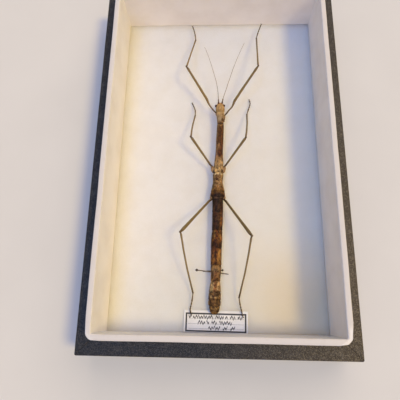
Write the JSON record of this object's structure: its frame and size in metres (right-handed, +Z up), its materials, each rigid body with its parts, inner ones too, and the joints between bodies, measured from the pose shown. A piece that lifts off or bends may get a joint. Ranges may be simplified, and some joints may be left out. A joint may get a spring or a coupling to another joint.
{
  "type": "mounted stick insect specimen in an open case",
  "caption": "A giant stick insect, dried and set with bent legs and long antennae, pinned on white foam in an open black specimen case with a raised white liner and a card label.",
  "frame": {"origin": "under the middle of the case, on the surface that it stands on", "axes": "+Z up, +Y along the case towards the insect's head end, +X to the insect's right"},
  "size_m": [0.1966, 0.3046, 0.054],
  "materials": {
    "shell_tan": "dried cuticle, light tan, dull satin",
    "shell_brown": "dried cuticle, mottled dark brown, satin",
    "shell_olive": "dried cuticle, mottled olive brown, satin",
    "leg_olive": "dried cuticle, olive brown, satin",
    "feeler_brown": "dried cuticle, grey brown, dull",
    "eye_dark": "dark, glossy",
    "white_paper": "white lining paper, slightly worn",
    "white_foam": "white foam, matte",
    "black_paper": "black grained covering paper",
    "card": "white card, matte",
    "pin_steel": "dull grey steel"
  },
  "bodies": {
    "root": {"abdomen_02": "shell_brown", "abdomen_03": "shell_brown", "abdomen_04": "shell_brown", "abdomen_05": "shell_brown", "abdomen_06": "shell_brown", "abdomen_07": "shell_brown", "abdomen_08": "shell_brown", "abdomen_09": "shell_brown", "abdomen_10": "shell_brown", "antenna_left": "feeler_brown", "antenna_right": "feeler_brown", "case_bottom": "black_paper", "case_wall_back": "black_paper", "case_wall_front": "black_paper", "case_wall_left": "black_paper", "case_wall_right": "black_paper", "cerci": "shell_brown", "eye_left": "eye_dark", "eye_right": "eye_dark", "foam_floor": "white_foam", "fore_left_coxa": "leg_olive", "fore_left_femur": "leg_olive", "fore_left_tarsus": "leg_olive", "fore_left_tibia": "leg_olive", "fore_right_coxa": "leg_olive", "fore_right_femur": "leg_olive", "fore_right_tarsus": "leg_olive", "fore_right_tibia": "leg_olive", "head": "shell_tan", "hind_left_coxa": "leg_olive", "hind_left_femur": "leg_olive", "hind_left_tarsus": "leg_olive", "hind_left_tibia": "leg_olive", "hind_right_coxa": "leg_olive", "hind_right_femur": "leg_olive", "hind_right_tarsus": "leg_olive", "hind_right_tibia": "leg_olive", "label_card": "card", "liner_back": "white_paper", "liner_front": "white_paper", "liner_left": "white_paper", "liner_right": "white_paper", "median_segment": "shell_brown", "mesothorax": "shell_brown", "metathorax": "shell_olive", "mid_left_coxa": "leg_olive", "mid_left_femur": "leg_olive", "mid_left_tarsus": "leg_olive", "mid_left_tibia": "leg_olive", "mid_right_coxa": "leg_olive", "mid_right_femur": "leg_olive", "mid_right_tarsus": "leg_olive", "mid_right_tibia": "leg_olive", "mouthparts": "shell_tan", "operculum": "shell_olive", "pin_left": "pin_steel", "pin_right": "pin_steel", "prothorax": "shell_tan", "wing_left": "shell_olive", "wing_right": "shell_olive"}
  },
  "joints": []
}
